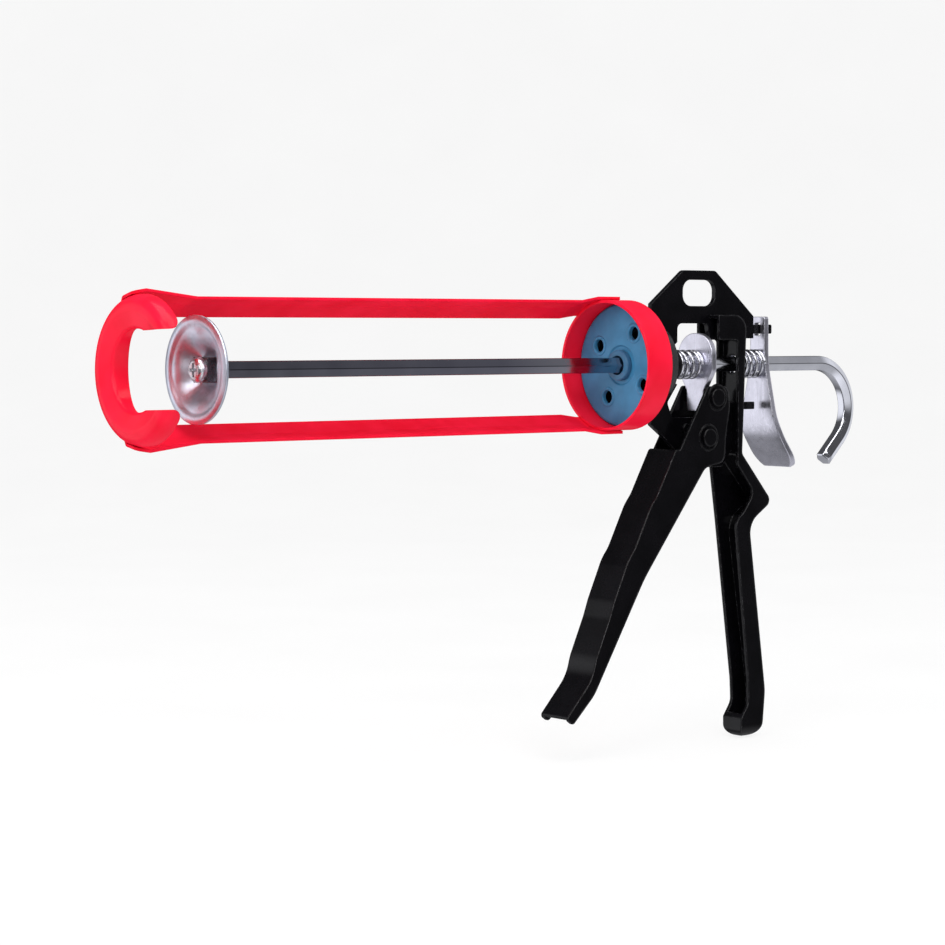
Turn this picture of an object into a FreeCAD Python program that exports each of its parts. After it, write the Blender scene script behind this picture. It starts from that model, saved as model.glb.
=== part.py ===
"""Open-frame revolving caulking gun for a standard 300 ml cartridge.

Units are millimetres.  X runs along the push rod: the nozzle end is at -X and the hook at +X.
+Z is up and the trigger hangs below the rod.  The origin is the centre of the seat disc's front
face, where the bottom of the cartridge rests.
"""
import FreeCAD, Part
import math
import os

Vec = FreeCAD.Vector
X_AXIS = Vec(1, 0, 0)
Y_AXIS = Vec(0, 1, 0)
Z_AXIS = Vec(0, 0, 1)
ORIGIN = Vec(0, 0, 0)

# ---- driving dimensions --------------------------------------------------------------------

# Push rod, a quarter-inch hexagon bar with a flat on top
ROD_FLATS = 6.35
ROD_BORE_RADIUS = 4.0          # every hole that the rod slides through
STUD_RADIUS = 2.5              # shank of the screw in the rod's front end

# Cradle: rear ring, seat disc, two rails and the front plate
RING_RADIUS = 27.0
RING_WALL = 1.2
RING_FRONT = -9.0
RING_REAR = 4.0
SEAT_THICKNESS = 1.5
PLATE_RADIUS = 27.6
PLATE_WALL = 1.3
PLATE_FRONT = -239.5
PLATE_RIM_REAR = -232.4
NOZZLE_SLOT_HALF = 14.3        # half of the nozzle slot's width
ARM_TIP_RADIUS = 4.4           # rounding at the rim's corners beside the nozzle slot
NOZZLE_LIP_FRONT = -237.3      # where the slot's edge is turned back
NOZZLE_LIP_REAR = -231.0       # how far back the lip reaches at the slot's closed end
RAIL_THICKNESS = 1.2
RAIL_NEAR_ANGLE = 3.5          # degrees from straight up, towards +Y
RAIL_FAR_ANGLE = 39.6
RAIL_RADIUS = 25.9             # inner corner radius along the cartridge
RAIL_FLARE = 0.7               # how far the rail stands off the plate's rim where it leaves it
RAIL_FRONT_STEP = 22.0         # length of the slope from the plate's rim down to the rail
RAIL_REAR_STEP = 9.0           # length of the slope up onto the ring
CRADLE_TURN = 2.0              # degrees: the cradle turns freely and rests a little off upright

# Swivel between cradle and body
SWIVEL_RADIUS = 5.0
SWIVEL_HEAD_RADIUS = 6.4
SWIVEL_RECESS = 0.6            # the seat disc is recessed this much round the swivel's head
WASHER_RADIUS = 8.4
WASHER_THICKNESS = 1.2
RUNNING_CLEARANCE = 0.06
SIDE_GAP = 0.3                 # axial gap between parts that turn on each other

# Body
FLANGE_FRONT = 14.5
FLANGE_THICKNESS = 2.0
FLANGE_RADIUS = 18.0
CUP_FRONT = 4.6                # mouth of the cup behind the seat disc
CUP_MOUTH_RADIUS = 21.5
CUP_WALL = 1.6
CUP_BOSS_RADIUS = 9.0
HUB_RADIUS = 7.5
HUB_REAR = 28.8
BODY_PLATE_HALF = 1.1          # half of the two middle plates' thickness
CHANNEL_HALF = 6.8             # half of the handle channel's outer width
CHANNEL_WALL = 1.4
HANDLE_BACK = 67.0             # rear of the channel's back, where the rod passes through it

PLATE_RIVET = (36.6, -27.1)    # small rivet in the pivot plate, X and Z
PLATE_RIVET_RADIUS = 1.6
PLATE_RIVET_HEAD = 2.2
PLATE_RIVET_HEIGHT = 1.0
BUSH_RADIUS = 5.0

# Trigger and drive
TRIGGER_HALF = 8.3
TRIGGER_WALL = 1.2
PIVOT = (43.1, -30.9)          # trigger pivot, X and Z
DRIVE_PIN = (48.2, -14.0)      # pin that pushes the drive plate, X and Z
PIVOT_PIN_RADIUS = 3.0
PIN_RADIUS = 2.4
RIVET_HEAD_RADIUS = 3.9
RIVET_HEAD_HEIGHT = 1.2
RIVET_ROUNDING = 0.6           # share of a rivet head's height that is rounded
DRIVE_PLATE_FRONT = 43.0
DRIVE_PLATE_THICKNESS = 2.5

# Release lever
LEVER_FRONT = 80.6
LEVER_THICKNESS = 2.4
LEVER_HINGE_Z = 15.0
LEVER_TAB = 4.0                # height of the tab that the lever hangs on
LEVER_SLOT = 5.4               # height of the lever's slot round that tab
LEVER_HALF = 10.9              # half of the foot's width
LEVER_TOP = 20.4
LEVER_FOOT = -47.0

# Springs
SPRING_RADIUS = 5.5            # to the middle of the wire
SPRING_WIRE = 0.8              # wire radius
SPRING_GAP = 0.1

# Plunger
DISC_RADIUS = 20.2
DISC_WALL = 1.2
DISC_RIM = -211.6
DISC_FLOOR = -205.0
SCREW_HEAD_RADIUS = 4.7
SPACER_SIDE = 9.4

# Hook at the end of the rod
HOOK_START = 117.0
HOOK_RADIUS = 20.0
HOOK_TURN = 135.0
HOOK_TIP = 12.5

# ---- shape helpers -------------------------------------------------------------------------


def rounded_wire(corners, to_point):
    """Closed wire through corners (a, b, radius), with an arc at each corner that has a radius."""
    count = len(corners)
    starts = []
    ends = []
    middles = []
    setbacks = []
    for index, (a, b, radius) in enumerate(corners):
        here = Vec(a, b, 0)
        before = Vec(corners[index - 1][0], corners[index - 1][1], 0) - here
        after = Vec(corners[(index + 1) % count][0], corners[(index + 1) % count][1], 0) - here
        before.normalize()
        after.normalize()
        half = before.getAngle(after) / 2
        setback = radius / math.tan(half)
        setbacks.append(setback)
        if radius == 0:
            starts.append(here)
            ends.append(here)
            middles.append(None)
            continue
        centre = here + (before + after).normalize() * (radius / math.sin(half))
        starts.append(here + before * setback)
        ends.append(here + after * setback)
        middles.append(centre + (here - centre).normalize() * radius)
    edges = []
    for index in range(count):
        a, b, radius = corners[index]
        side = math.hypot(a - corners[index - 1][0], b - corners[index - 1][1])
        if setbacks[index] + setbacks[index - 1] > side + 1e-6:
            raise ValueError(f"the roundings at {corners[index - 1]} and {corners[index]} overlap")
        if middles[index] is not None:
            edges.append(Part.Arc(to_point(starts[index]), to_point(middles[index]),
                                  to_point(ends[index])).toShape())
        next_start = starts[(index + 1) % count]
        if (next_start - ends[index]).Length > 1e-6:
            edges.append(Part.makeLine(to_point(ends[index]), to_point(next_start)))
    return Part.Wire(edges)


def side_plate(corners, y_from, y_to):
    """Plate drawn in the XZ plane and extruded along Y."""
    wire = rounded_wire(corners, lambda p: Vec(p.x, y_from, p.y))
    return Part.Face(wire).extrude(Vec(0, y_to - y_from, 0))


def cross_plate(corners, x_from, x_to):
    """Plate drawn in the YZ plane and extruded along X."""
    wire = rounded_wire(corners, lambda p: Vec(x_from, p.x, p.y))
    return Part.Face(wire).extrude(Vec(x_to - x_from, 0, 0))


def turned(corners):
    """Solid of revolution about the rod's axis, from corners (x, radius from axis, rounding)."""
    wire = rounded_wire(corners, lambda p: Vec(p.x, 0, p.y))
    return Part.Face(wire).revolve(ORIGIN, X_AXIS, 360)


def rod_cylinder(radius, x_from, x_to):
    """Cylinder on the rod's axis."""
    return Part.makeCylinder(radius, x_to - x_from, Vec(x_from, 0, 0), X_AXIS)


def cross_pin(radius, place, y_from, y_to):
    """Cylinder along Y through a point given as X and Z."""
    return Part.makeCylinder(radius, y_to - y_from, Vec(place[0], y_from, place[1]), Y_AXIS)


def mirrored(corners):
    """Corners of one half, followed by their mirror images in reverse order."""
    return corners + [(-a, b, radius) for a, b, radius in reversed(corners)]


def hexagon_face(flats, x):
    """Hexagon across the rod's axis at x, with a flat on top."""
    corner_radius = flats / math.sqrt(3)
    points = []
    for index in range(7):
        angle = math.radians(60 * index)
        points.append(Vec(x, corner_radius * math.cos(angle), corner_radius * math.sin(angle)))
    return Part.Face(Part.makePolygon(points))


def coil_spring(x_from, x_to, half_turns):
    """Coil spring on the rod's axis, with its wire inside the two end planes.  It is made of equal
    half turns that meet face to face."""
    length = x_to - x_from - 2 * SPRING_WIRE
    rise = length / half_turns
    helix = Part.makeHelix(2 * rise, rise, SPRING_RADIUS)
    start = Vec(SPRING_RADIUS, 0, 0)
    direction = Vec(0, math.pi * SPRING_RADIUS, rise)
    section = Part.Wire(Part.makeCircle(SPRING_WIRE, start, direction))
    first = Part.Wire(helix.Edges).makePipeShell([section], True, True)
    pieces = []
    for index in range(half_turns):
        piece = first.copy()
        piece.rotate(ORIGIN, Z_AXIS, 180 * index)
        piece.translate(Vec(0, 0, rise * index))
        pieces.append(piece)
    wire = pieces[0].fuse(pieces[1:])
    wire.rotate(ORIGIN, Y_AXIS, 90)
    wire.translate(Vec(x_from + SPRING_WIRE, 0, 0))
    return wire


# ---- cradle --------------------------------------------------------------------------------


def front_plate():
    """Dished C plate that holds the cartridge's shoulder.  A slot for the nozzle is open to one
    side, and its closed end has a lip that is turned back."""
    crest = PLATE_RADIUS - 5.5
    slot_edge = NOZZLE_SLOT_HALF
    shoulder = PLATE_FRONT + 1.2
    shell = turned([
        (PLATE_RIM_REAR, PLATE_RADIUS, 0),
        (shoulder, PLATE_RADIUS, 5.0),
        (PLATE_FRONT, crest, 3.0),
        (NOZZLE_LIP_FRONT, slot_edge + 1.0, 1.8),
        (NOZZLE_LIP_REAR, slot_edge, 0),
        (NOZZLE_LIP_REAR, slot_edge + PLATE_WALL, 0),
        (NOZZLE_LIP_FRONT + PLATE_WALL, slot_edge + 1.0 + PLATE_WALL, 0.5),
        (PLATE_FRONT + PLATE_WALL, crest, 2.0),
        (shoulder + PLATE_WALL, PLATE_RADIUS - PLATE_WALL, 3.7),
        (PLATE_RIM_REAR, PLATE_RADIUS - PLATE_WALL, 0),
    ])
    slot = side_plate([
        (PLATE_FRONT - 5, -slot_edge, 0),
        (PLATE_FRONT - 5, slot_edge, 0),
        (PLATE_RIM_REAR + 5, slot_edge, 0),
        (PLATE_RIM_REAR + 5, -slot_edge, 0),
    ], -PLATE_RADIUS - 5, 0)
    # the lip is deepest at the slot's closed end and runs out where the straight edges begin
    behind = NOZZLE_LIP_FRONT + PLATE_WALL
    beyond = NOZZLE_LIP_REAR + 5
    centre_width = slot_edge + 3.5
    run_out = Part.Face(Part.makePolygon([
        Vec(behind, 0, -centre_width),
        Vec(NOZZLE_LIP_REAR, slot_edge, -centre_width),
        Vec(beyond, slot_edge, -centre_width),
        Vec(beyond, -centre_width, -centre_width),
        Vec(behind, -centre_width, -centre_width),
        Vec(behind, 0, -centre_width),
    ])).extrude(Vec(0, 0, 2 * centre_width))
    plate = shell.cut(slot).cut(run_out.common(rod_cylinder(centre_width, behind, beyond)))
    for side in (-1, 1):
        corner = Part.makeBox(ARM_TIP_RADIUS, PLATE_RADIUS, ARM_TIP_RADIUS,
                              Vec(PLATE_RIM_REAR - ARM_TIP_RADIUS, -PLATE_RADIUS, slot_edge))
        centre = (PLATE_RIM_REAR - ARM_TIP_RADIUS, slot_edge + ARM_TIP_RADIUS)
        corner = corner.cut(cross_pin(ARM_TIP_RADIUS, centre, -PLATE_RADIUS - 1, 1))
        if side < 0:
            corner = corner.mirror(ORIGIN, Z_AXIS)
        plate = plate.cut(corner)
    return plate


def rail_section(x, inner_radius):
    """Rail's cross section: two flats that meet in a crease, wrapped round the cartridge."""
    middle_angle = (RAIL_NEAR_ANGLE + RAIL_FAR_ANGLE) / 2
    angles = [RAIL_NEAR_ANGLE, middle_angle, RAIL_FAR_ANGLE]
    inner = [(angle, inner_radius) for angle in angles]
    outer = [(angle, inner_radius + RAIL_THICKNESS) for angle in reversed(angles)]
    points = []
    for angle, radius in inner + outer:
        turn = math.radians(angle)
        points.append(Vec(x, radius * math.sin(turn), radius * math.cos(turn)))
    points.append(points[0])
    return Part.makePolygon(points)


def upper_rail():
    """Rail from the front plate to the ring, stepped out at both ends to lap over their rims."""
    half_flat = math.radians((RAIL_FAR_ANGLE - RAIL_NEAR_ANGLE) / 4)
    over_plate = PLATE_RADIUS / math.cos(half_flat) + 0.02
    over_ring = RING_RADIUS / math.cos(half_flat) + 0.02
    leaves_plate = PLATE_RIM_REAR + 2.0
    stations = [
        (PLATE_FRONT + 2.5, over_plate - 0.5),
        (PLATE_FRONT + 4.5, over_plate),
        (leaves_plate, over_plate + RAIL_FLARE),
        (leaves_plate + RAIL_FRONT_STEP, RAIL_RADIUS),
        (RING_FRONT - 1.0 - RAIL_REAR_STEP, RAIL_RADIUS),
        (RING_FRONT - 1.0, over_ring),
        (RING_REAR - 2.0, over_ring),
    ]
    pieces = []
    for (x_from, radius_from), (x_to, radius_to) in zip(stations, stations[1:]):
        sections = [rail_section(x_from, radius_from), rail_section(x_to, radius_to)]
        pieces.append(Part.makeLoft(sections, True, True))
    rail = pieces[0].multiFuse(pieces[1:]).removeSplitter()
    # the tab over the plate's rim is cut off slantwise on its far side
    tab_front = PLATE_FRONT + 2.0
    far_side = PLATE_RADIUS * math.sin(math.radians(RAIL_FAR_ANGLE)) + 2.0
    slant = Part.Face(Part.makePolygon([
        Vec(tab_front, 6.0, 0),
        Vec(PLATE_RIM_REAR + 1.4, far_side, 0),
        Vec(tab_front, far_side, 0),
        Vec(tab_front, 6.0, 0),
    ])).extrude(Vec(0, 0, 2 * PLATE_RADIUS))
    return rail.cut(slant).cut(front_plate())


def lower_rail():
    """The same rail, mirrored below the cartridge."""
    return upper_rail().mirror(ORIGIN, Z_AXIS)


def rear_ring():
    """Short tube round the end of the cartridge."""
    outer = rod_cylinder(RING_RADIUS, RING_FRONT, RING_REAR)
    return outer.cut(rod_cylinder(RING_RADIUS - RING_WALL, RING_FRONT, RING_REAR))


def seat_disc():
    """Pressed disc in the ring: the cartridge's bottom rests on it and it turns on the swivel."""
    radius = RING_RADIUS - RING_WALL
    rear = RING_REAR - 0.5
    disc = turned([
        (SWIVEL_RECESS, SWIVEL_RADIUS + RUNNING_CLEARANCE, 0),
        (SWIVEL_RECESS, SWIVEL_HEAD_RADIUS + 1.4, 0),
        (0, SWIVEL_HEAD_RADIUS + 2.0, 0),
        (0, radius, 1.6),
        (rear, radius, 0),
        (rear, radius - SEAT_THICKNESS, 0),
        (SEAT_THICKNESS, radius - SEAT_THICKNESS, 0.4),
        (SEAT_THICKNESS, SWIVEL_RADIUS + RUNNING_CLEARANCE, 0),
    ])
    hole_radius = 2.7
    hole_circle = 15.5
    first_hole = 33
    for index in range(4):
        turn = math.radians(first_hole + 90 * index)
        centre = Vec(-1, hole_circle * math.cos(turn), hole_circle * math.sin(turn))
        disc = disc.cut(Part.makeCylinder(hole_radius, SEAT_THICKNESS + 2, centre, X_AXIS))
    return disc


# ---- body ----------------------------------------------------------------------------------


def front_flange():
    """Pressed cup that opens to the front behind the seat disc, with a boss inside for the swivel
    and a hub behind for the drive spring."""
    washer_rear = SEAT_THICKNESS + SIDE_GAP + WASHER_THICKNESS
    flange_rear = FLANGE_FRONT + FLANGE_THICKNESS
    return turned([
        (washer_rear, SWIVEL_RADIUS, 0),
        (washer_rear, CUP_BOSS_RADIUS, 1.0),
        (FLANGE_FRONT, CUP_BOSS_RADIUS, 2.0),
        (FLANGE_FRONT, FLANGE_RADIUS - CUP_WALL, 1.0),
        (CUP_FRONT, CUP_MOUTH_RADIUS - CUP_WALL, 0),
        (CUP_FRONT, CUP_MOUTH_RADIUS, 0),
        (flange_rear, FLANGE_RADIUS, 1.6),
        (flange_rear, HUB_RADIUS, 0),
        (HUB_REAR, HUB_RADIUS, 1.0),
        (HUB_REAR, ROD_BORE_RADIUS, 0),
        (flange_rear, ROD_BORE_RADIUS, 0),
        (flange_rear, SWIVEL_RADIUS, 0),
    ])


def swivel_hub():
    """Headed tube fixed in the flange; the seat disc turns on it and the rod slides in it."""
    head_rear = SWIVEL_RECESS - SIDE_GAP
    head_front = head_rear - 2.4
    flange_rear = FLANGE_FRONT + FLANGE_THICKNESS
    return turned([
        (head_front, ROD_BORE_RADIUS, 0),
        (head_front, SWIVEL_HEAD_RADIUS, 0.8),
        (head_rear, SWIVEL_HEAD_RADIUS, 0),
        (head_rear, SWIVEL_RADIUS, 0),
        (flange_rear, SWIVEL_RADIUS, 0),
        (flange_rear, ROD_BORE_RADIUS, 0),
    ])


def swivel_washer():
    """Thrust washer between the seat disc and the flange's boss."""
    front = SEAT_THICKNESS + SIDE_GAP
    rear = front + WASHER_THICKNESS
    return rod_cylinder(WASHER_RADIUS, front, rear).cut(rod_cylinder(SWIVEL_RADIUS, front, rear))


def hang_plate():
    """Upper plate in the gun's middle plane, with the hang hole.  Its tab passes through the
    channel and the release lever hangs on it."""
    left = FLANGE_FRONT + FLANGE_THICKNESS
    tab_low = LEVER_HINGE_Z - LEVER_TAB / 2
    tab_high = LEVER_HINGE_Z + LEVER_TAB / 2
    outline = [
        (left, 25.6, 0),
        (35.1, 39.9, 3.0),
        (53.8, 39.9, 3.0),
        (77.0, 20.6, 1.0),
        (77.0, tab_high, 0),
        (88.2, tab_high, 0.8),
        (88.2, tab_low, 0.8),
        (77.0, tab_low, 0),
        (77.0, 11.0, 0),
        (50.6, 11.0, 1.0),
        (49.2, 17.4, 1.5),
        (31.5, 17.4, 2.5),
        (31.5, 9.5, 0),
        (HUB_REAR, HUB_RADIUS, 0),
        (left, HUB_RADIUS, 0),
    ]
    plate = side_plate(outline, -BODY_PLATE_HALF, BODY_PLATE_HALF)
    hang_hole = side_plate([
        (34.6, 24.8, 4.6),
        (34.6, 35.9, 4.6),
        (53.8, 35.9, 4.6),
        (53.8, 24.8, 4.6),
    ], -BODY_PLATE_HALF - 1, BODY_PLATE_HALF + 1)
    return plate.cut(hang_hole)


def pivot_plate():
    """Lower plate in the middle plane: it carries the trigger's pivot, and its tab, which passes
    through the channel, stops the release lever."""
    left = FLANGE_FRONT + FLANGE_THICKNESS
    inside_web = 64.6
    stop_high = -16.4
    stop_low = -19.6
    plate = side_plate([
        (left, -HUB_RADIUS, 0),
        (HUB_REAR, -HUB_RADIUS, 0),
        (31.6, -8.3, 0.3),
        (25.7, -16.0, 2.0),
        (28.6, -22.4, 0.8),
        (59.5, -22.4, 1.5),
        (59.5, stop_high, 0.5),
        (77.8, stop_high, 0.5),
        (77.8, stop_low, 0.5),
        (inside_web, stop_low, 0),
        (inside_web - 0.9, -37.5, 1.0),
        (58.0, -44.0, 1.0),
        (40.0, -44.0, 4.0),
        (23.6, -30.2, 1.5),
        (left, -25.2, 0),
    ], -BODY_PLATE_HALF, BODY_PLATE_HALF)
    pivot_hole = cross_pin(PIVOT_PIN_RADIUS, PIVOT, -5, 5)
    rivet_hole = cross_pin(PLATE_RIVET_RADIUS, PLATE_RIVET, -5, 5)
    return plate.cut(pivot_hole).cut(rivet_hole)


# Handle's outline in the XZ plane.  The channel's closed back follows it from the top, round the
# thumb rest and down the grip to the rounded foot.
HANDLE_OUTLINE = [
    (46.0, 21.0, 0),
    (67.2, 21.0, 6.5),
    (64.8, -38.5, 3.0),
    (83.2, -59.6, 3.0),
    (69.6, -68.6, 9.0),
    (80.6, -142.0, 20.0),
    (79.0, -161.6, 7.0),
    (66.4, -161.6, 4.5),
    (66.4, -146.0, 3.0),
    (46.0, -60.0, 0),
]


def handle_width(inset):
    """Handle seen from the front, narrowing towards the foot, less an inset all round."""
    return mirrored([
        (CHANNEL_HALF - inset, 22.0, 0),
        (CHANNEL_HALF - inset, -45.0, 60.0),
        (CHANNEL_HALF - 1.2 - inset, -161.7 + inset, 5.2 - inset),
    ])


def handle_channel():
    """Pressed channel, open to the front: it stands behind the drive and runs down as the grip."""
    outer_side = side_plate(HANDLE_OUTLINE, -CHANNEL_HALF, CHANNEL_HALF)
    outer = outer_side.common(cross_plate(handle_width(0), 30, 100))
    inner_wire = rounded_wire(HANDLE_OUTLINE, lambda p: Vec(p.x, -CHANNEL_HALF, p.y))
    inner_face = Part.Face(inner_wire.makeOffset2D(-CHANNEL_WALL))
    inner = inner_face.extrude(Vec(0, 2 * CHANNEL_HALF, 0))
    inner = inner.common(cross_plate(handle_width(CHANNEL_WALL), 30, 100))
    shell = outer.cut(inner)
    hood_front = 50.6
    strip_front = 62.3
    grip_front = [
        (61.6, -67.5, 6.0),
        (70.4, -137.0, 12.0),
        (70.8, -147.0, 6.0),
        (65.2, -155.0, 0),
        (40.0, -155.0, 0),
        (40.0, 30.0, 0),
        (hood_front, 30.0, 0),
        (hood_front, 10.4, 1.5),
        (strip_front, 10.4, 1.5),
        (strip_front, -43.0, 1.0),
    ]
    far_opening = side_plate([(58.4, -44.6, 0)] + grip_front, 0, 20)
    thumb_cut = [(72.6, -55.4, 4.5), (66.6, -63.6, 4.0)]
    near_opening = side_plate(thumb_cut + grip_front, -20, 0)
    shell = shell.cut(far_opening).cut(near_opening)
    # the plate's two tabs and the rod pass through the back
    shell = shell.cut(rod_cylinder(ROD_BORE_RADIUS, 55, 75))
    return shell.cut(hang_plate()).cut(pivot_plate())


def plate_rivet():
    """Rivet with a low head on each side of the pivot plate."""
    shank = cross_pin(PLATE_RIVET_RADIUS, PLATE_RIVET, -BODY_PLATE_HALF, BODY_PLATE_HALF)
    heads = [rivet_head(PLATE_RIVET, PLATE_RIVET_HEAD, PLATE_RIVET_HEIGHT, BODY_PLATE_HALF, side)
             for side in (-1, 1)]
    return shank.fuse(heads)


def rivet_head(place, radius, height, start, side):
    """Low domed head that stands out from |Y| = start on one side (-1 or 1)."""
    top = start + height
    head = cross_pin(radius, place, start, top)
    rim = [edge for edge in head.Edges
           if abs(edge.BoundBox.YMin - top) < 1e-6 and abs(edge.BoundBox.YMax - top) < 1e-6]
    head = head.makeFillet(height * RIVET_ROUNDING, rim)
    if side < 0:
        head = head.mirror(ORIGIN, Y_AXIS)
    return head


def trigger_pivot():
    """Rivet that the trigger turns on, through both cheeks, both bushes and the pivot plate."""
    outside = TRIGGER_HALF + SIDE_GAP
    pin = cross_pin(PIVOT_PIN_RADIUS, PIVOT, -outside, outside)
    heads = [rivet_head(PIVOT, RIVET_HEAD_RADIUS, RIVET_HEAD_HEIGHT, outside, side) for side in (-1, 1)]
    return pin.fuse(heads)


def pivot_bushes():
    """Two spacers on the pivot that keep the trigger's cheeks clear of the pivot plate."""
    inside = TRIGGER_HALF - TRIGGER_WALL - SIDE_GAP
    bushes = []
    for y_from, y_to in ((BODY_PLATE_HALF, inside), (-inside, -BODY_PLATE_HALF)):
        tube = cross_pin(BUSH_RADIUS, PIVOT, y_from, y_to)
        bushes.append(tube.cut(cross_pin(PIVOT_PIN_RADIUS, PIVOT, y_from, y_to)))
    return Part.makeCompound(bushes)


# ---- trigger and drive ---------------------------------------------------------------------

# Front line of the trigger with its finger grooves, from the top of the web to the foot
TRIGGER_FRONT = [
    (24.2, -35.4, 2.0),
    (13.4, -54.6, 20.0),
    (10.0, -58.6, 20.0),
    (0.6, -76.6, 20.0),
    (-2.8, -80.6, 20.0),
    (-10.6, -97.4, 20.0),
    (-13.2, -104.4, 20.0),
    (-20.6, -120.6, 20.0),
    (-22.6, -128.4, 20.0),
    (-37.0, -144.0, 1.5),
]
TRIGGER_REAR = [
    (-33.4, -146.6, 1.5),
    (-21.6, -135.2, 20.0),
    (6.2, -89.0, 60.0),
    (41.4, -43.6, 6.0),
    (52.8, -41.4, 4.0),
    (53.4, -31.0, 6.0),
    (55.8, -18.0, 10.0),
    (54.6, -9.2, 3.5),
    (42.8, -9.2, 1.8),
    (26.6, -35.8, 0),
]


def trigger():
    """Pressed channel, open to the rear, whose two cheeks run up past the pivot plate."""
    block = side_plate(TRIGGER_FRONT + TRIGGER_REAR, -TRIGGER_HALF, TRIGGER_HALF)
    # the web leans, so it is a little thicker along X than square to its surface
    web_along_x = TRIGGER_WALL * 1.15
    inside = [(x + web_along_x, z, radius) for x, z, radius in TRIGGER_FRONT[1:-1]]
    web_top = (inside[0][0] + 12.6, TRIGGER_FRONT[0][1] + 2.0)
    foot_x = TRIGGER_FRONT[-1][0] - 1.0
    foot_z = TRIGGER_REAR[0][1] + 0.4
    low = foot_z - 14.0
    reach = 90.0
    cavity = side_plate([
        (*web_top, 0),
        *inside,
        (foot_x, foot_z, 0),
        (foot_x, low, 0),
        (reach, low, 0),
        (reach, 0, 0),
        (web_top[0] + 4.0, 0, 0),
        (web_top[0] - 6.0, web_top[1], 0),
    ], TRIGGER_WALL - TRIGGER_HALF, TRIGGER_HALF - TRIGGER_WALL)
    shell = block.cut(cavity)
    pivot_hole = cross_pin(PIVOT_PIN_RADIUS + RUNNING_CLEARANCE, PIVOT, -20, 20)
    pin_hole = cross_pin(PIN_RADIUS, DRIVE_PIN, -20, 20)
    return shell.cut(pivot_hole).cut(pin_hole)


def drive_pin():
    """Pin riveted across the trigger's cheeks, behind the drive plate's tail."""
    pin = cross_pin(PIN_RADIUS, DRIVE_PIN, -TRIGGER_HALF, TRIGGER_HALF)
    heads = [rivet_head(DRIVE_PIN, RIVET_HEAD_RADIUS, RIVET_HEAD_HEIGHT, TRIGGER_HALF, side)
             for side in (-1, 1)]
    return pin.fuse(heads)


def drive_plate():
    """Keyhole-shaped plate that grips the rod; the drive pin pushes its tail forward."""
    outline = mirrored([
        (5.0, -19.8, 1.0),
        (5.0, -11.0, 3.0),
        (10.3, -2.5, 4.0),
        (10.3, 13.3, 9.8),
    ])
    rear = DRIVE_PLATE_FRONT + DRIVE_PLATE_THICKNESS
    plate = cross_plate(outline, DRIVE_PLATE_FRONT, rear)
    return plate.cut(rod_cylinder(ROD_BORE_RADIUS, DRIVE_PLATE_FRONT - 1, rear + 1))


def drive_spring():
    """Spring round the rod that pushes the drive plate and the trigger back."""
    return coil_spring(HUB_REAR + SPRING_GAP, DRIVE_PLATE_FRONT - SPRING_GAP, 9)


def release_lever():
    """Plate that grips the rod against running back; its foot curves back for the thumb."""
    rear = LEVER_FRONT + LEVER_THICKNESS
    half_slot = LEVER_SLOT / 2
    side = side_plate([
        (LEVER_FRONT, LEVER_TOP, 0),
        (LEVER_FRONT, -27.5, 26.0),
        (93.4, -45.4, 0.8),
        (95.4, -43.9, 0.8),
        (rear, -27.0, 23.6),
        (rear, LEVER_TOP, 0),
    ], -LEVER_HALF - 1, LEVER_HALF + 1)
    front = cross_plate(mirrored([
        (LEVER_HALF, LEVER_FOOT, 9.0),
        (LEVER_HALF, -29.0, 25.0),
        (4.4, 0.0, 60.0),
        (4.2, LEVER_TOP, 1.2),
    ]), 70, 110)
    lever = side.common(front)
    slot = side_plate([
        (70, LEVER_HINGE_Z - half_slot, 0),
        (70, LEVER_HINGE_Z + half_slot, 0),
        (90, LEVER_HINGE_Z + half_slot, 0),
        (90, LEVER_HINGE_Z - half_slot, 0),
    ], -BODY_PLATE_HALF - 0.5, BODY_PLATE_HALF + 0.5)
    return lever.cut(slot).cut(rod_cylinder(ROD_BORE_RADIUS + 0.2, 70, 95))


def release_spring():
    """Spring round the rod that holds the release lever back."""
    return coil_spring(HANDLE_BACK + SPRING_GAP, LEVER_FRONT - SPRING_GAP, 8)


# ---- push rod and plunger ------------------------------------------------------------------


def push_rod():
    """Straight part of the hexagon bar, bored at its front end for the plunger's screw."""
    front = DISC_FLOOR + DISC_WALL
    straight = hexagon_face(ROD_FLATS, front).extrude(Vec(HOOK_START - front, 0, 0))
    return straight.cut(rod_cylinder(STUD_RADIUS, front, front + 12))


def hook_bend():
    """Rear end of the same bar, bent down into a hook."""
    bend_centre = Vec(HOOK_START, 0, -HOOK_RADIUS)
    end_face = hexagon_face(ROD_FLATS, HOOK_START)
    bend = end_face.revolve(bend_centre, Y_AXIS, HOOK_TURN)
    tip_face = end_face.copy()
    tip_face.rotate(bend_centre, Y_AXIS, HOOK_TURN)
    turn = math.radians(HOOK_TURN)
    tip = tip_face.extrude(Vec(math.cos(turn) * HOOK_TIP, 0, -math.sin(turn) * HOOK_TIP))
    return bend.fuse(tip)


def plunger_disc():
    """Dished disc that presses on the cartridge's piston."""
    wall = DISC_WALL
    return turned([
        (DISC_FLOOR, STUD_RADIUS, 0),
        (DISC_FLOOR, 8.0, 2.0),
        (DISC_RIM + 1.2, 16.2, 2.5),
        (DISC_RIM, 17.8, 1.0),
        (DISC_RIM, DISC_RADIUS, 0.4),
        (DISC_RIM + wall, DISC_RADIUS, 0.4),
        (DISC_RIM + wall, 18.0, 0.8),
        (DISC_RIM + 1.2 + wall, 17.0, 2.5),
        (DISC_FLOOR + wall, 8.6, 2.0),
        (DISC_FLOOR + wall, STUD_RADIUS, 0),
    ])


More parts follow.
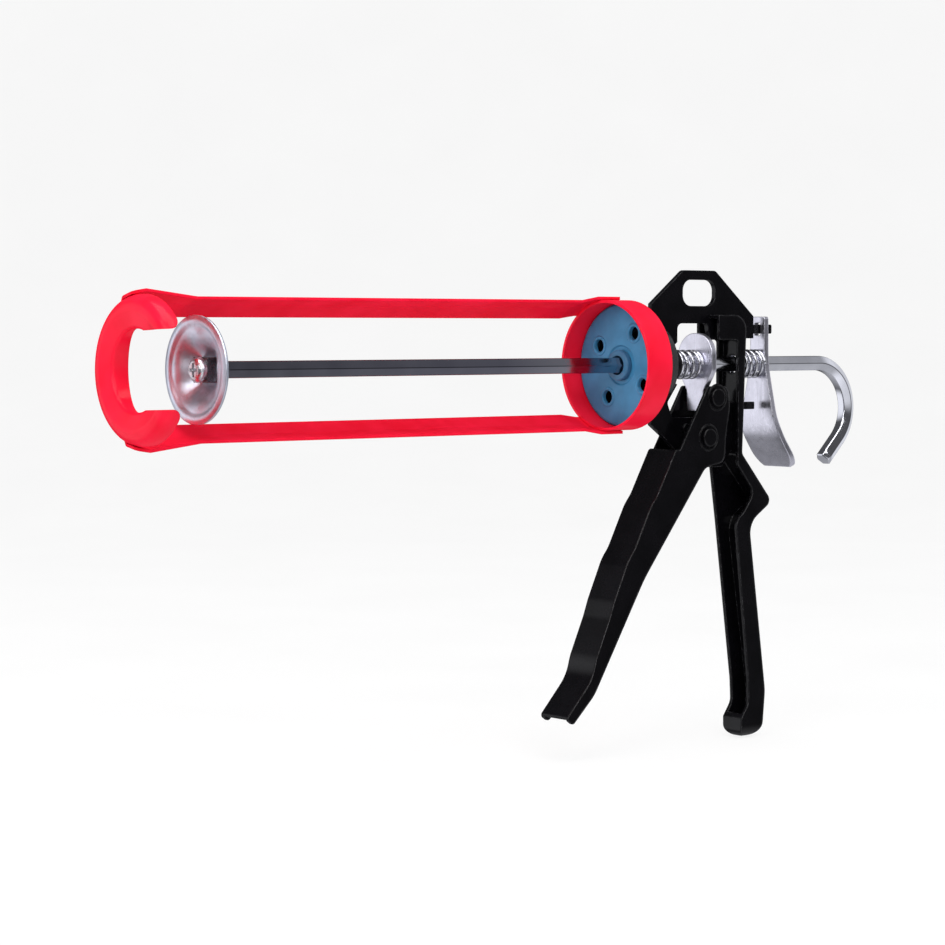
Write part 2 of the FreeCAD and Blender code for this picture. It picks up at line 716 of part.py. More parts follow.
def plunger_spacer():
    """Square nut between the screw's head and the disc."""
    half = SPACER_SIDE / 2
    block = cross_plate(mirrored([(half, -half, 0.6), (half, half, 0.6)]), DISC_FLOOR - 4.1, DISC_FLOOR)
    return block.cut(rod_cylinder(STUD_RADIUS, DISC_FLOOR - 5, DISC_FLOOR + 1))


def plunger_screw():
    """Pan-head screw that holds the disc to the rod's end."""
    head_rear = DISC_FLOOR - 4.1
    head_front = head_rear - 3.2
    screw = turned([
        (head_front, 0, 0),
        (head_front, SCREW_HEAD_RADIUS, 2.2),
        (head_rear, SCREW_HEAD_RADIUS, 0),
        (head_rear, STUD_RADIUS, 0),
        (DISC_FLOOR + DISC_WALL + 10, STUD_RADIUS, 0),
        (DISC_FLOOR + DISC_WALL + 10, 0, 0),
    ])
    recess_depth = 1.6
    for turn in (0, 90):
        blade = Part.makeBox(recess_depth, 1.1, 5.0, Vec(head_front, -0.55, -2.5))
        blade.rotate(ORIGIN, X_AXIS, turn)
        screw = screw.cut(blade)
    return screw


# ---- output --------------------------------------------------------------------------------

NODES = {
    "front_plate": front_plate,
    "upper_rail": upper_rail,
    "lower_rail": lower_rail,
    "rear_ring": rear_ring,
    "seat_disc": seat_disc,
    "front_flange": front_flange,
    "swivel_hub": swivel_hub,
    "swivel_washer": swivel_washer,
    "hang_plate": hang_plate,
    "pivot_plate": pivot_plate,
    "handle_channel": handle_channel,
    "plate_rivet": plate_rivet,
    "trigger_pivot": trigger_pivot,
    "pivot_bushes": pivot_bushes,
    "trigger": trigger,
    "drive_pin": drive_pin,
    "drive_plate": drive_plate,
    "drive_spring": drive_spring,
    "release_lever": release_lever,
    "release_spring": release_spring,
    "push_rod": push_rod,
    "hook_bend": hook_bend,
    "plunger_disc": plunger_disc,
    "plunger_spacer": plunger_spacer,
    "plunger_screw": plunger_screw,
}


CRADLE = ("front_plate", "upper_rail", "lower_rail", "rear_ring", "seat_disc")


def main():
    os.makedirs("parts", exist_ok=True)
    for name, build in NODES.items():
        shape = build()
        if name in CRADLE:
            shape.rotate(ORIGIN, X_AXIS, -CRADLE_TURN)
        shape.exportStep(os.path.join("parts", name + ".step"))
        box = shape.BoundBox
        print(f"{name:16s} solids {len(shape.Solids)} valid {shape.isValid()} volume {shape.Volume:9.1f} "
              f"x {box.XMin:7.1f} {box.XMax:7.1f} y {box.YMin:6.1f} {box.YMax:6.1f} "
              f"z {box.ZMin:7.1f} {box.ZMax:6.1f}")


main()
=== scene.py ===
import math

import bmesh
import bpy
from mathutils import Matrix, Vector


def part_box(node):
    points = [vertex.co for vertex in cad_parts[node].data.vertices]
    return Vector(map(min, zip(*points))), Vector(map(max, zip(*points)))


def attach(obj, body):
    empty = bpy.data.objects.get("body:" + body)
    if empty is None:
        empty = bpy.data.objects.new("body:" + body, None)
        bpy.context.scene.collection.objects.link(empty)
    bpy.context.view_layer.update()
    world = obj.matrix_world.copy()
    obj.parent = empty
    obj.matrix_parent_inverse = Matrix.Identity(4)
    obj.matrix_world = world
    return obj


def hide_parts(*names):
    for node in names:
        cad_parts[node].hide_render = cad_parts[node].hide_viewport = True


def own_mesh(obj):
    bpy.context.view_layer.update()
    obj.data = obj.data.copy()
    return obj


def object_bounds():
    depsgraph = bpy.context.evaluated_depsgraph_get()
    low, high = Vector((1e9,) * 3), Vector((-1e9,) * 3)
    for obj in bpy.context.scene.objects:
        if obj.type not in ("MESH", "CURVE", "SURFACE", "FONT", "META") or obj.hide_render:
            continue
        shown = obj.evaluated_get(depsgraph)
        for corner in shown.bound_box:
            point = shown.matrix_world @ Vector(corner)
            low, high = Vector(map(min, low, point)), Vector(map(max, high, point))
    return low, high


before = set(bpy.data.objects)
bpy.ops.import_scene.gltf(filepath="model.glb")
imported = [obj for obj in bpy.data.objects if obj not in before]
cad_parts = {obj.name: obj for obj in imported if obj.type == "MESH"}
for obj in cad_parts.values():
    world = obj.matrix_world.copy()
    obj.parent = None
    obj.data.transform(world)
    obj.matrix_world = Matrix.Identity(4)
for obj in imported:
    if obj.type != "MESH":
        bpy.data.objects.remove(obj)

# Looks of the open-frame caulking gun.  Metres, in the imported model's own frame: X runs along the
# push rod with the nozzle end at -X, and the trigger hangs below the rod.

CAD_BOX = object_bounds()
MM = 0.001
BEAD_BASE = -0.02 * MM      # raised beads start just under the surface that they stand on

VIEW_AZIMUTH = -39.53
VIEW_ELEVATION = 3.02
VIEW_DISTANCE = 1.075
VIEW_AIM = Vector((-0.0302, 0.0, 0.0189))     # from the middle of the object's box
LENS = 103.0

# Soft zones of the studio's dim surround: direction, where the zone fades out and is full
# (cosines), and the strength that it adds.
SURROUND = 0.09
ZONES = [
    ((-0.63, 0.76, -0.12), 0.80, 0.95, 1.00),
    ((0.30, -0.05, -0.95), 0.35, 0.85, 0.46),
    ((0.97, 0.00, 0.08), 0.78, 0.95, 0.70),
    ((0.63, -0.44, 0.64), 0.82, 0.95, 0.30),
    ((-0.20, -0.82, -0.52), 0.78, 0.95, 0.75),
]

# ---- reading the frame ---------------------------------------------------------------------


def node_box(name):
    """Lowest and highest corners of a CAD node, as vectors."""
    low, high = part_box(name)
    return Vector(low), Vector(high)


def node_centre(name):
    low, high = node_box(name)
    return (low + high) / 2


# ---- material helpers ----------------------------------------------------------------------


class Material:
    """A node material under construction: each method adds nodes and returns an output socket."""

    def __init__(self, name):
        self.material = bpy.data.materials.new(name)
        self.material.use_nodes = True
        self.tree = self.material.node_tree
        self.shader = self.tree.nodes["Principled BSDF"]
        coordinates = self.tree.nodes.new("ShaderNodeTexCoord")
        self.place = coordinates.outputs["Object"]

    def link(self, source, target):
        self.tree.links.new(source, target)

    def set(self, **values):
        """Constant values on the shader's own sockets, with _ for each space in a socket's name."""
        for name, value in values.items():
            self.shader.inputs[name.replace("_", " ")].default_value = value

    def stretched(self, stretch):
        """Object coordinates scaled by a different amount along each axis."""
        mapping = self.tree.nodes.new("ShaderNodeMapping")
        mapping.inputs["Scale"].default_value = stretch
        self.link(self.place, mapping.inputs["Vector"])
        return mapping.outputs["Vector"]

    def noise(self, size, detail=3.0, rough=0.5, stretch=(1, 1, 1)):
        """Noise with features of about `size` metres, 0 to 1."""
        node = self.tree.nodes.new("ShaderNodeTexNoise")
        node.inputs["Scale"].default_value = 1 / size
        node.inputs["Detail"].default_value = detail
        node.inputs["Roughness"].default_value = rough
        self.link(self.stretched(stretch), node.inputs["Vector"])
        return node.outputs["Fac"]

    def spread(self, source, low, high, from_low=0.3, from_high=0.7):
        """A 0 to 1 signal spread over low to high."""
        node = self.tree.nodes.new("ShaderNodeMapRange")
        node.inputs["From Min"].default_value = from_low
        node.inputs["From Max"].default_value = from_high
        node.inputs["To Min"].default_value = low
        node.inputs["To Max"].default_value = high
        self.link(source, node.inputs["Value"])
        return node.outputs["Result"]

    def ramp(self, source, stops):
        """Colours along a 0 to 1 signal, from (position, (r, g, b)) stops."""
        node = self.tree.nodes.new("ShaderNodeValToRGB")
        elements = node.color_ramp.elements
        while len(elements) < len(stops):
            elements.new(0.5)
        for element, (position, colour) in zip(elements, stops):
            element.position = position
            element.color = (*colour, 1)
        self.link(source, node.inputs["Fac"])
        return node.outputs["Color"]

    def mix(self, amount, first, second):
        """Colour mix of two sockets or (r, g, b) values."""
        node = self.tree.nodes.new("ShaderNodeMix")
        node.data_type = "RGBA"
        self.link(amount, node.inputs[0])
        for socket, value in ((node.inputs[6], first), (node.inputs[7], second)):
            if isinstance(value, tuple):
                socket.default_value = (*value, 1)
            else:
                self.link(value, socket)
        return node.outputs[2]

    def edges_worn_and_lit(self, radius):
        """1 along the outer edges and 0 on the flats."""
        full_edge_mark = 0.75      # cosine of the turn between the rounded and the flat normal
        bevel = self.tree.nodes.new("ShaderNodeBevel")
        bevel.samples = 4
        bevel.inputs["Radius"].default_value = radius
        geometry = self.tree.nodes.new("ShaderNodeNewGeometry")
        dot = self.tree.nodes.new("ShaderNodeVectorMath")
        dot.operation = "DOT_PRODUCT"
        self.link(bevel.outputs["Normal"], dot.inputs[0])
        self.link(geometry.outputs["Normal"], dot.inputs[1])
        return self.spread(dot.outputs["Value"], 1, 0, full_edge_mark, 1)

    def surface(self, bumps, rounding=None):
        """Stacks bumps (height socket, depth in metres), over edges rounded by a radius."""
        normal = None
        if rounding:
            bevel = self.tree.nodes.new("ShaderNodeBevel")
            bevel.samples = 6
            bevel.inputs["Radius"].default_value = rounding
            normal = bevel.outputs["Normal"]
        for height, depth in bumps:
            node = self.tree.nodes.new("ShaderNodeBump")
            node.inputs["Distance"].default_value = depth
            node.inputs["Strength"].default_value = 1.0
            self.link(height, node.inputs["Height"])
            if normal:
                self.link(normal, node.inputs["Normal"])
            normal = node.outputs["Normal"]
        self.link(normal, self.shader.inputs["Normal"])
        self.link(normal, self.shader.inputs["Coat Normal"])

    def colour(self, socket):
        self.link(socket, self.shader.inputs["Base Color"])

    def roughness(self, socket):
        self.link(socket, self.shader.inputs["Roughness"])


# ---- materials -----------------------------------------------------------------------------


def red_enamel(name, coat):
    """Deep red enamel under a thin clear gloss, a little pooled and uneven."""
    m = Material(name)
    pooling = m.noise(14 * MM, 2)
    tint = m.ramp(pooling, [(0.3, (0.86, 0.008, 0.032)), (0.7, (0.96, 0.014, 0.050))])
    dust = m.spread(m.noise(0.5 * MM, 2), 0, 0.35, 0.68, 0.82)
    m.colour(m.mix(dust, tint, (0.90, 0.05, 0.09)))
    m.roughness(m.spread(m.noise(5 * MM, 3), 0.40, 0.60))
    m.set(Specular_IOR_Level=0.0, Coat_Weight=coat, Coat_Roughness=0.20)
    m.surface([(m.noise(6 * MM, 1), 0.05 * MM), (m.noise(0.4 * MM, 2), 0.003 * MM)], 0.6 * MM)
    return m.material


def blue_enamel(name, light, dark):
    """Satin steel-blue enamel with slight clouding."""
    m = Material(name)
    m.colour(m.ramp(m.noise(9 * MM, 3), [(0.32, dark), (0.68, light)]))
    m.roughness(m.spread(m.noise(2 * MM, 3), 0.34, 0.52))
    m.set(Specular_IOR_Level=0.25, Coat_Weight=0.15, Coat_Roughness=0.2)
    m.surface([(m.noise(0.7 * MM, 3), 0.012 * MM)], 0.4 * MM)
    return m.material


def black_powder_coat(name, rounding):
    """Black powder coat: a matt base under a thin gloss, with fine orange peel and the edges painted
    slightly grey, partly as rubbed wear and partly as a painted highlight along the edges."""
    m = Material(name)
    base = m.ramp(m.noise(11 * MM, 3), [(0.3, (0.0014, 0.0013, 0.0020)), (0.7, (0.0034, 0.0031, 0.0044))])
    rubbed_and_lit_patches = m.spread(m.noise(2.5 * MM, 4), 0, 1, 0.46, 0.64)
    edge = m.edges_worn_and_lit(0.30 * MM)
    wear_and_highlight = m.tree.nodes.new("ShaderNodeMath")
    wear_and_highlight.operation = "MULTIPLY"
    m.link(rubbed_and_lit_patches, wear_and_highlight.inputs[0])
    m.link(edge, wear_and_highlight.inputs[1])
    # Edges painted grey in patches: partly rubbed wear, partly a painted highlight along the edges.
    m.colour(m.mix(wear_and_highlight.outputs[0], base, (0.13, 0.13, 0.14)))
    m.roughness(m.spread(m.noise(3 * MM, 3), 0.42, 0.58))
    m.set(Specular_IOR_Level=0.03, Coat_Weight=0.45, Coat_Roughness=0.13)
    m.surface([(m.noise(0.9 * MM, 2), 0.022 * MM), (m.noise(0.25 * MM, 2), 0.004 * MM)], rounding)
    return m.material


def zinc_plate(name, tint, stretch, smooth, rough):
    """Bright zinc plating over rolled sheet: fine streaks, clouding and a few stains."""
    m = Material(name)
    streaks = m.noise(0.5 * MM, 4, 0.6, stretch)
    clouds = m.noise(7 * MM, 3)
    darker = tuple(value * 0.80 for value in tint)
    stain = m.spread(m.noise(2.2 * MM, 5, 0.65), 0, 0.5, 0.58, 0.72)
    plated = m.mix(m.spread(clouds, 0, 1), darker, tint)
    m.colour(m.mix(stain, plated, tuple(value * 0.55 for value in tint)))
    m.roughness(m.spread(streaks, smooth, rough))
    m.set(Metallic=1.0)
    m.surface([(streaks, 0.004 * MM), (clouds, 0.10 * MM)], 0.7 * MM)
    return m.material


def plated_bar():
    """Bright plated drawn bar with faint draw marks along it.  Its colour is painted dark over the
    stretch inside the cradle, a painted shade that stands for the dark reflections there, and rises
    to plain bright plating at the hook."""
    m = Material("plated_bar")
    draw = m.noise(0.35 * MM, 4, 0.6, (0.03, 1, 1))
    plunger_end = -210 * MM
    bright_from = 50 * MM
    separate = m.tree.nodes.new("ShaderNodeSeparateXYZ")
    m.link(m.place, separate.inputs["Vector"])
    along = m.spread(separate.outputs["X"], 0, 1, plunger_end, bright_from)
    # Painted shade: the colour is painted dark towards the plunger end, for the dark reflections inside
    # the cradle.
    painted_shade_along_rod = m.ramp(along, [(0.0, (0.10, 0.10, 0.12)), (0.55, (0.16, 0.16, 0.20)),
                          (0.80, (0.42, 0.42, 0.47)), (1.0, (0.80, 0.81, 0.87))])
    cloudy = m.spread(m.noise(12 * MM, 3), 0.0, 0.25)
    m.colour(m.mix(cloudy, painted_shade_along_rod, (0.24, 0.24, 0.28)))
    m.roughness(m.spread(draw, 0.07, 0.17))
    m.set(Metallic=1.0)
    m.surface([(draw, 0.004 * MM)])
    return m.material


def bright_screw():
    """Bright plated steel, slightly marked."""
    m = Material("bright_screw")
    m.colour(m.ramp(m.noise(2 * MM, 3), [(0.3, (0.60, 0.60, 0.64)), (0.7, (0.84, 0.84, 0.88))]))
    m.roughness(m.spread(m.noise(0.8 * MM, 3), 0.22, 0.36))
    m.set(Metallic=1.0)
    m.surface([(m.noise(0.5 * MM, 3), 0.008 * MM)], 0.35 * MM)
    return m.material


def spring_steel():
    """Bright drawn wire, with slightly darker patches at random."""
    m = Material("spring_steel")
    m.colour(m.ramp(m.noise(1.6 * MM, 3), [(0.35, (0.42, 0.42, 0.46)), (0.65, (0.82, 0.82, 0.88))]))
    m.roughness(m.spread(m.noise(0.6 * MM, 3), 0.14, 0.28))
    m.set(Metallic=1.0)
    m.surface([(m.noise(0.4 * MM, 3), 0.008 * MM)])
    return m.material


def studio_paper():
    """Pale seamless paper with some light behind it, which keeps it even."""
    m = Material("studio_paper")
    m.colour(m.ramp(m.noise(90 * MM, 3), [(0.3, (0.12, 0.12, 0.12)), (0.7, (0.14, 0.14, 0.14))]))
    m.roughness(m.spread(m.noise(2 * MM, 2), 0.85, 0.95))
    m.set(Specular_IOR_Level=0.1, Emission_Color=(1.0, 1.0, 1.0, 1.0), Emission_Strength=0.85)
    m.surface([(m.noise(3 * MM, 3), 0.05 * MM)])
    return m.material


def finish_nodes():
    """Gives every CAD node its finish."""
    rail_red = red_enamel("rail_red", 0.08)
    plate_red = red_enamel("plate_red", 0.30)
    black_sheet = black_powder_coat("black_sheet", 0.45 * MM)
    black_pressing = black_powder_coat("black_pressing", 1.3 * MM)
    zinc = zinc_plate("zinc_sheet", (0.84, 0.83, 0.93), (1, 1, 0.06), 0.24, 0.38)
    steel = zinc_plate("plain_steel", (0.40, 0.39, 0.42), (1, 0.2, 1), 0.20, 0.40)
    dark_steel = zinc_plate("dark_steel", (0.13, 0.115, 0.13), (1, 0.2, 1), 0.20, 0.36)
    bar = plated_bar()
    finishes = {
        "front_plate": plate_red,
        "upper_rail": rail_red,
        "lower_rail": rail_red,
        "rear_ring": plate_red,
        # Painted light: the seat disc's blues are painted lighter than its enamel, to make up for the
        # shade of the ring round it.
        "seat_disc": blue_enamel("seat_blue", (0.056, 0.27, 0.50), (0.040, 0.20, 0.38)),
        "swivel_hub": blue_enamel("hub_blue", (0.050, 0.185, 0.34), (0.036, 0.130, 0.25)),
        "front_flange": black_sheet,
        "hang_plate": black_sheet,
        "pivot_plate": black_sheet,
        "plate_rivet": black_sheet,
        "trigger_pivot": black_sheet,
        "drive_pin": black_sheet,
        "handle_channel": black_pressing,
        "trigger": black_pressing,
        "swivel_washer": steel,
        "pivot_bushes": steel,
        "drive_plate": zinc,
        "release_lever": zinc,
        "plunger_spacer": dark_steel,
        "plunger_screw": bright_screw(),
        "plunger_disc": zinc,
        "push_rod": bar,
        "hook_bend": bar,
    }
    for name, material in finishes.items():
        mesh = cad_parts[name].data
        mesh.materials.clear()
        mesh.materials.append(material)


# ---- pieces --------------------------------------------------------------------------------


def add_piece(name, mesh_builder, body, material):
    """Makes an object from a bmesh and lets it ride on a body."""
    mesh = bpy.data.meshes.new(name)
    mesh_builder.normal_update()
    mesh_builder.to_mesh(mesh)
    mesh_builder.free()
    mesh.materials.append(material)
    for polygon in mesh.polygons:
        polygon.use_smooth = True
    piece = bpy.data.objects.new(name, mesh)
    bpy.context.scene.collection.objects.link(piece)
    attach(piece, body)
    return piece


def pressed_disc(rings, steps, height):
    """Polar sheet about the rod's axis: rings are radii, height(radius, turn) gives x."""
    bm = bmesh.new()
    rows = []
    for radius in rings:
        row = []
        for step in range(steps):
            turn = 2 * math.pi * step / steps
            place = (height(radius, turn), radius * math.cos(turn), radius * math.sin(turn))
            row.append(bm.verts.new(place))
        rows.append(row)
    for inner, outer in zip(rows, rows[1:]):
        for step in range(steps):
            after = (step + 1) % steps
            bm.faces.new((inner[step], inner[after], outer[after], outer[step]))
    return bm


def smooth_step(value, low, high):
    """0 below low, 1 above high, and smooth between."""
    share = min(max((value - low) / (high - low), 0), 1)
    return share * share * (3 - 2 * share)


def plunger_pressing():
    """The plunger's dished disc, with a rolled rim and four pressed lobes round the nut."""
    low, high = node_box("plunger_disc")
    rim_radius = high.y
    wall = 1.0 * MM
    dish = high.x - low.x - wall
    hole = 2.6 * MM
    floor_radius = 4.5 * MM
    lobe_reach = 10.5 * MM
    lobe_across = 5.2 * MM
    lobe_along = 4.94 * MM
    lobe_height = 1.5 * MM
    rim_start = 16.8 * MM
    rim_step = 0.9 * MM
    rim_slope = 1.2 * MM
    roll_start = rim_start + 1.6 * MM
    roll_depth = 0.35 * MM
    quarter = math.pi / 2

    def height(radius, turn):
        bowl = 1 - smooth_step(radius, floor_radius, rim_start)
        from_lobe = (turn + quarter / 2) % quarter - quarter / 2
        across = radius * math.sin(from_lobe)
        along = radius * math.cos(from_lobe) - lobe_reach
        away = math.hypot(across / lobe_across, along / lobe_along)
        lobe = math.exp(-(away ** 2) * 1.1)
        lift = smooth_step(radius, rim_start - rim_slope, rim_start + rim_slope)
        rolled = smooth_step(radius, roll_start, rim_radius)
        return (low.x + rim_step * (1 - lift) + dish * bowl * 0.9
                - lobe * lobe_height + rolled * roll_depth)

    ring_count = 56
    ring_steps = 160
    rings = [hole + (rim_radius - hole) * index / ring_count for index in range(ring_count + 1)]
    material = zinc_plate("plunger_zinc", (0.80, 0.85, 0.97), (1, 0.5, 0.5), 0.32, 0.48)
    pressing = pressed_disc(rings, ring_steps, height)
    disc = add_piece("plunger_pressing", pressing, "rod", material)
    thickness = disc.modifiers.new("thickness", "SOLIDIFY")
    thickness.thickness = wall
    thickness.offset = -1
    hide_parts("plunger_disc")


def rounded_hexagon(flats, rounding, per_corner=5):
    """Points (sideways, up) of a hexagon with a flat on top and rounded corners."""
    points = []
    reach = (flats / 2 - rounding) / math.cos(math.pi / 6)
    for corner in range(6):
        middle = corner * math.pi / 3
        for index in range(per_corner):
            turn = middle + math.pi / 3 * (index / (per_corner - 1) - 0.5)
            points.append((reach * math.cos(middle) + rounding * math.cos(turn),
                           reach * math.sin(middle) + rounding * math.sin(turn)))
    return points


def section_row(bm, section, x, z, turn, scale=1.0):
    """Vertices of the bar's section at (x, z), turned down by an angle and scaled."""
    row = []
    for side, up in section:
        along_x = up * scale * math.sin(turn)
        along_z = up * scale * math.cos(turn)
        row.append(bm.verts.new((x + along_x, side * scale, z + along_z)))
    return row


def join_rows(bm, rows):
    """Quads between rings of vertices that follow each other, and a face over each end."""
    for near, far in zip(rows, rows[1:]):
        for index in range(len(near)):
            following = (index + 1) % len(near)
            bm.faces.new((near[index], near[following], far[following], far[index]))
    bm.faces.new(rows[0])
    bm.faces.new(list(reversed(rows[-1])))
    bmesh.ops.recalc_face_normals(bm, faces=bm.faces)


def plated_rod():
    """The push rod with its hook as one bar, swept along its line with rounded corners."""
    low, high = node_box("push_rod")
    bend_low, bend_high = node_box("hook_bend")
    flats = high.z - low.z
    bend_radius = bend_high.x - bend_low.x - flats / 2
    hook_turn = math.radians(135)
    section_clearance = 0.02 * MM
    corner_rounding = 0.75 * MM
    section = rounded_hexagon(flats - section_clearance, corner_rounding)
    straight = high.x - low.x
    straight_steps = 80
    bend_steps = 60
    stations = [(low.x + straight * index / straight_steps, 0.0, 0.0) for index in range(straight_steps)]
    for index in range(bend_steps + 1):
        turn = hook_turn * index / bend_steps
        stations.append((high.x + bend_radius * math.sin(turn), bend_radius * (math.cos(turn) - 1), turn))
    end_x, end_z, turn = stations[-1]
    tip = 12.0 * MM
    bevel = 0.5 * MM
    for along in (tip / 3, tip * 2 / 3, tip):
        stations.append((end_x + along * math.cos(turn), end_z - along * math.sin(turn), turn))
    bm = bmesh.new()
    rows = [section_row(bm, section, x, z, turn) for x, z, turn in stations]
    x, z, turn = stations[-1]
    x += bevel * math.cos(turn)
    z -= bevel * math.sin(turn)
    rows.append(section_row(bm, section, x, z, turn, 1 - bevel / (flats / 2)))
    join_rows(bm, rows)
    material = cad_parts["push_rod"].data.materials[0]
    rod = add_piece("plated_rod", bm, "rod", material)
    for polygon in rod.data.polygons:
        polygon.use_smooth = len(polygon.vertices) == 4
    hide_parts("push_rod", "hook_bend")


def coil_spring(node, turns, material):
    """Wound wire with a closed coil at each end."""
    low, high = node_box(node)
    wire = 0.8 * MM
    coil_radius = high.y - wire
    length = high.x - low.x - 2 * wire
    end_pitch = 2.05 * wire
    open_pitch = (length - 2 * end_pitch) / (turns - 2)
    steps_per_turn = 40
    around = 12
    bm = bmesh.new()
    rows = []
    for step in range(int(turns * steps_per_turn) + 1):
        turn = step / steps_per_turn
        opened = min(max(turn - 1, 0), turns - 2)
        x = low.x + wire + end_pitch * (turn - opened) + open_pitch * opened
        angle = 2 * math.pi * turn
        row = []
        for index in range(around):
            slant = 2 * math.pi * index / around
            radius = coil_radius + wire * math.cos(slant)
            place = (x + wire * math.sin(slant), radius * math.cos(angle), radius * math.sin(angle))
            row.append(bm.verts.new(place))
        rows.append(row)
    join_rows(bm, rows)
    spring = add_piece(node + "_wire", bm, "body", material)
    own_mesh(spring)
    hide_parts(node)


def springs():
    """The drive spring and the release spring, each wound round the rod."""
    wire = spring_steel()
    turns = 4.5
    coil_spring("drive_spring", turns, wire)
    coil_spring("release_spring", turns, wire)


def lathed_ring(bm, centre, axis, profile):
    """Adds a ring about an axis through centre: profile is (radius, height) pairs, closed."""
    steps = 48
    side = axis.orthogonal().normalized()
    other = axis.cross(side)
    rows = []
    for step in range(steps):
        turn = 2 * math.pi * step / steps
        out = side * math.cos(turn) + other * math.sin(turn)
        rows.append([bm.verts.new(centre + out * radius + axis * height) for radius, height in profile])
    for step in range(steps):
        here = rows[step]
        after = rows[(step + 1) % steps]
        for index in range(len(profile)):
            following = (index + 1) % len(profile)
            bm.faces.new((here[index], after[index], after[following], here[following]))


def arc_profile(radius, half_width, height, base):
    """Low rounded bead in section, from radius - half_width to radius + half_width."""
    count = 8
    points = []
    for index in range(count + 1):
        turn = math.pi * index / count
        points.append((radius - half_width * math.cos(turn), base + height * math.sin(turn)))
    return points


def seat_hole_rims():
    """Pressed rims round the seat disc's four holes."""
    front_face = node_box("seat_disc")[0].x
    hole_circle = 15.5 * MM
    hole_radius = 2.7 * MM
    first_turn = math.radians(31)
    bead = arc_profile(hole_radius + 0.8 * MM, 0.75 * MM, 0.35 * MM, BEAD_BASE)
    bm = bmesh.new()
    for index in range(4):
        turn = first_turn + math.pi / 2 * index
        centre = Vector((front_face, hole_circle * math.cos(turn), hole_circle * math.sin(turn)))
        lathed_ring(bm, centre, Vector((-1, 0, 0)), bead)
    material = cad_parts["seat_disc"].data.materials[0]
    add_piece("seat_hole_rims", bm, "cradle", material)


def rivet_rings():
    """Pressed rings in the trigger's cheeks round the pivot and the drive pin."""
    half_width = node_box("trigger")[1].y
    bead = arc_profile(5.2 * MM, 0.7 * MM, 0.3 * MM, BEAD_BASE)
    bm = bmesh.new()
    for name in ("trigger_pivot", "drive_pin"):
        centre = node_centre(name)
        for side in (-1, 1):
            face = Vector((centre.x, half_width * side, centre.z))
            lathed_ring(bm, face, Vector((0, side, 0)), bead)
    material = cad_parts["trigger"].data.materials[0]
    add_piece("rivet_rings", bm, "trigger", material)


# ---- studio --------------------------------------------------------------------------------


def add_backdrop():
    """Seamless paper: a floor under the gun that sweeps up behind it."""
    lowest = CAD_BOX[0][2]
    floor = lowest - 0.5 * MM
    reach = 9.0
    sweep_start = 1.1
    sweep = 0.9
    wall_top = 3.2
    steps = 24
    paper = studio_paper()
    profile = [(-reach, 0.0)]
    for index in range(steps + 1):
        turn = math.pi / 2 * index / steps
        profile.append((sweep_start + sweep * math.sin(turn), sweep * (1 - math.cos(turn))))
    profile.append((sweep_start + sweep, wall_top))
    along = view_direction(VIEW_AZIMUTH, 0)
    across = Vector((-along.y, along.x, 0))
    bm = bmesh.new()
    rows = []
    for forward, height in profile:
        base = along * forward + Vector((0, 0, floor + height))
        rows.append([bm.verts.new(base + across * side) for side in (-reach, reach)])
    for near, far in zip(rows, rows[1:]):
        bm.faces.new((near[0], near[1], far[1], far[0]))
    mesh = bpy.data.meshes.new("studio_backdrop")
    bm.to_mesh(mesh)
    bm.free()
    mesh.materials.append(paper)
    for polygon in mesh.polygons:
        polygon.use_smooth = True
    backdrop = bpy.data.objects.new("studio_backdrop", mesh)
    backdrop.visible_glossy = False      # the surround's zones mirror in the metal instead
    bpy.context.scene.collection.objects.link(backdrop)
    add_far_wall(floor, reach * 0.95, paper)


def add_far_wall(floor, radius, paper):
    """Round paper wall far behind, for views from the other sides.  It sends no light to the gun."""
    height = 7.0
    steps = 64
    bm = bmesh.new()
    rows = []
    for step in range(steps):
        turn = 2 * math.pi * step / steps
        edge = (radius * math.cos(turn), radius * math.sin(turn))
        rows.append([bm.verts.new((*edge, floor + up)) for up in (-0.1, height)])
    for step in range(steps):
        near, far = rows[step], rows[(step + 1) % steps]
        bm.faces.new((near[0], near[1], far[1], far[0]))
    mesh = bpy.data.meshes.new("studio_far_wall")
    bm.to_mesh(mesh)
    bm.free()
    mesh.materials.append(paper)
    wall = bpy.data.objects.new("studio_far_wall", mesh)
    wall.visible_glossy = False
    wall.visible_diffuse = False
    wall.visible_shadow = False
    bpy.context.scene.collection.objects.link(wall)


def view_direction(azimuth, elevation):
    """Unit vector that the camera looks along, azimuth 0 along +Y and turning towards +X."""
    turn = math.radians(-azimuth)
    tilt = math.radians(elevation)
    return Vector((math.sin(turn) * math.cos(tilt), math.cos(turn) * math.cos(tilt), -math.sin(tilt)))


def add_camera():
    """Long-lens camera at the nozzle end's near side, slightly above the rod."""
    low, high = CAD_BOX
    middle = (Vector(low) + Vector(high)) / 2
    middle.y = 0
    forward = view_direction(VIEW_AZIMUTH, VIEW_ELEVATION)
    data = bpy.data.cameras.new("camera")
    data.lens = LENS
    data.sensor_width = 36
    data.clip_start = 0.01
    camera = bpy.data.objects.new("camera", data)
    camera.location = middle + VIEW_AIM - forward * VIEW_DISTANCE
    camera.rotation_euler = forward.to_track_quat("-Z", "Y").to_euler()
    bpy.context.scene.collection.objects.link(camera)
    bpy.context.scene.camera = camera


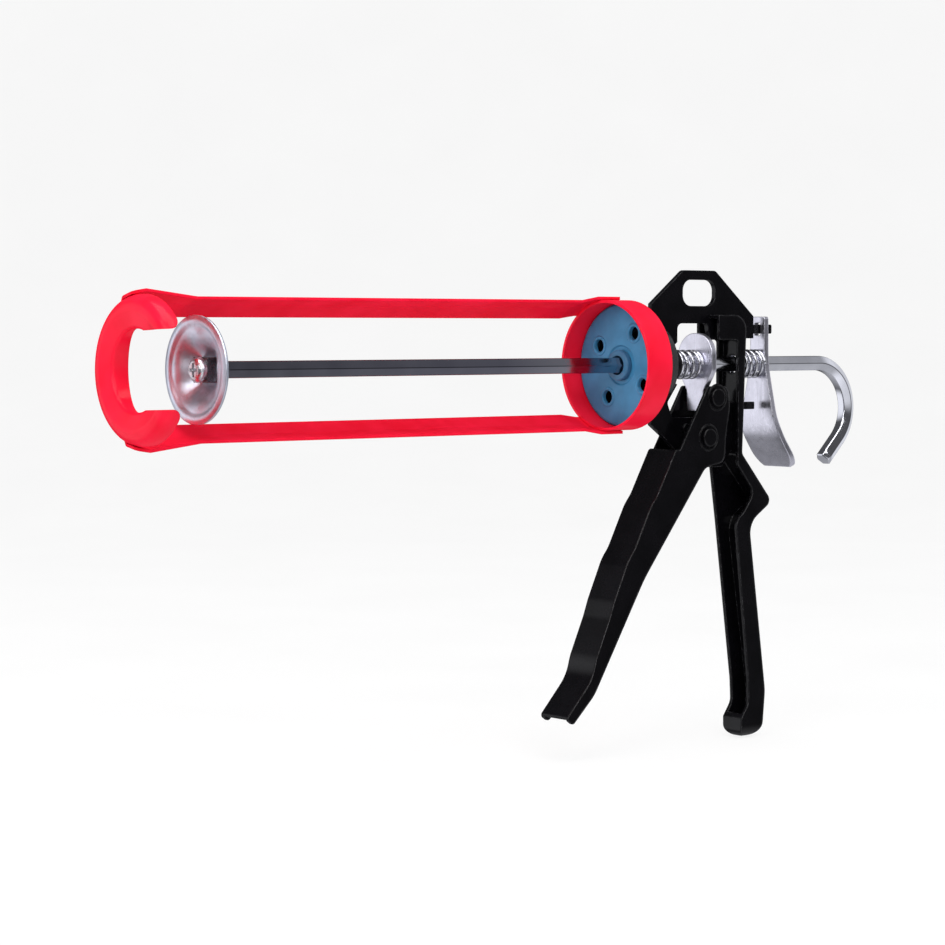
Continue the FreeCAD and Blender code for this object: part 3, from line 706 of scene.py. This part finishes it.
def add_softbox(name, azimuth, elevation, distance, size, power):
    """Rectangular soft light that faces the gun from a direction."""
    data = bpy.data.lights.new(name, "AREA")
    data.shape = "RECTANGLE"
    data.size, data.size_y = size
    data.energy = power
    light = bpy.data.objects.new(name, data)
    inward = view_direction(azimuth, elevation)
    target = Vector((-0.04, 0, -0.04))
    light.location = target - inward * distance
    light.rotation_euler = inward.to_track_quat("-Z", "Y").to_euler()
    bpy.context.scene.collection.objects.link(light)


def add_lights():
    """Soft key from the nozzle end's side, a weaker fill, a top light and a small eye light that
    draws the rounded edges."""
    add_softbox("key", -72, 30, 1.3, (0.8, 0.8), 6.5)
    add_softbox("fill", -22, 34, 1.5, (0.7, 0.7), 7.0)
    add_softbox("top", -40, 80, 1.3, (1.4, 1.0), 14.0)
    add_softbox("eye", -41, 9, 1.6, (0.35, 0.16), 0.9)


def add_surround():
    """A dim surround with a few soft zones, faded in and out by direction."""
    world = bpy.data.worlds.new("surround")
    world.use_nodes = True
    tree = world.node_tree
    direction = tree.nodes.new("ShaderNodeTexCoord").outputs["Generated"]
    background = tree.nodes["Background"]
    background.inputs["Color"].default_value = (0.95, 0.96, 1.0, 1)
    total = None
    for towards, fades_out, is_full, strength in ZONES:
        along = tree.nodes.new("ShaderNodeVectorMath")
        along.operation = "DOT_PRODUCT"
        along.inputs[1].default_value = Vector(towards).normalized()
        tree.links.new(direction, along.inputs[0])
        fade = tree.nodes.new("ShaderNodeMapRange")
        fade.interpolation_type = "SMOOTHSTEP"
        fade.inputs["From Min"].default_value = fades_out
        fade.inputs["From Max"].default_value = is_full
        fade.inputs["To Min"].default_value = 0
        fade.inputs["To Max"].default_value = strength
        tree.links.new(along.outputs["Value"], fade.inputs["Value"])
        sum_node = tree.nodes.new("ShaderNodeMath")
        sum_node.operation = "ADD"
        sum_node.inputs[0].default_value = SURROUND
        if total:
            tree.links.new(total, sum_node.inputs[0])
        tree.links.new(fade.outputs["Result"], sum_node.inputs[1])
        total = sum_node.outputs[0]
    tree.links.new(total, background.inputs["Strength"])
    bpy.context.scene.world = world


finish_nodes()
plated_rod()
springs()
plunger_pressing()
seat_hole_rims()
rivet_rings()
add_backdrop()
add_camera()
add_lights()
add_surround()
bpy.context.scene.view_settings.view_transform = "Standard"
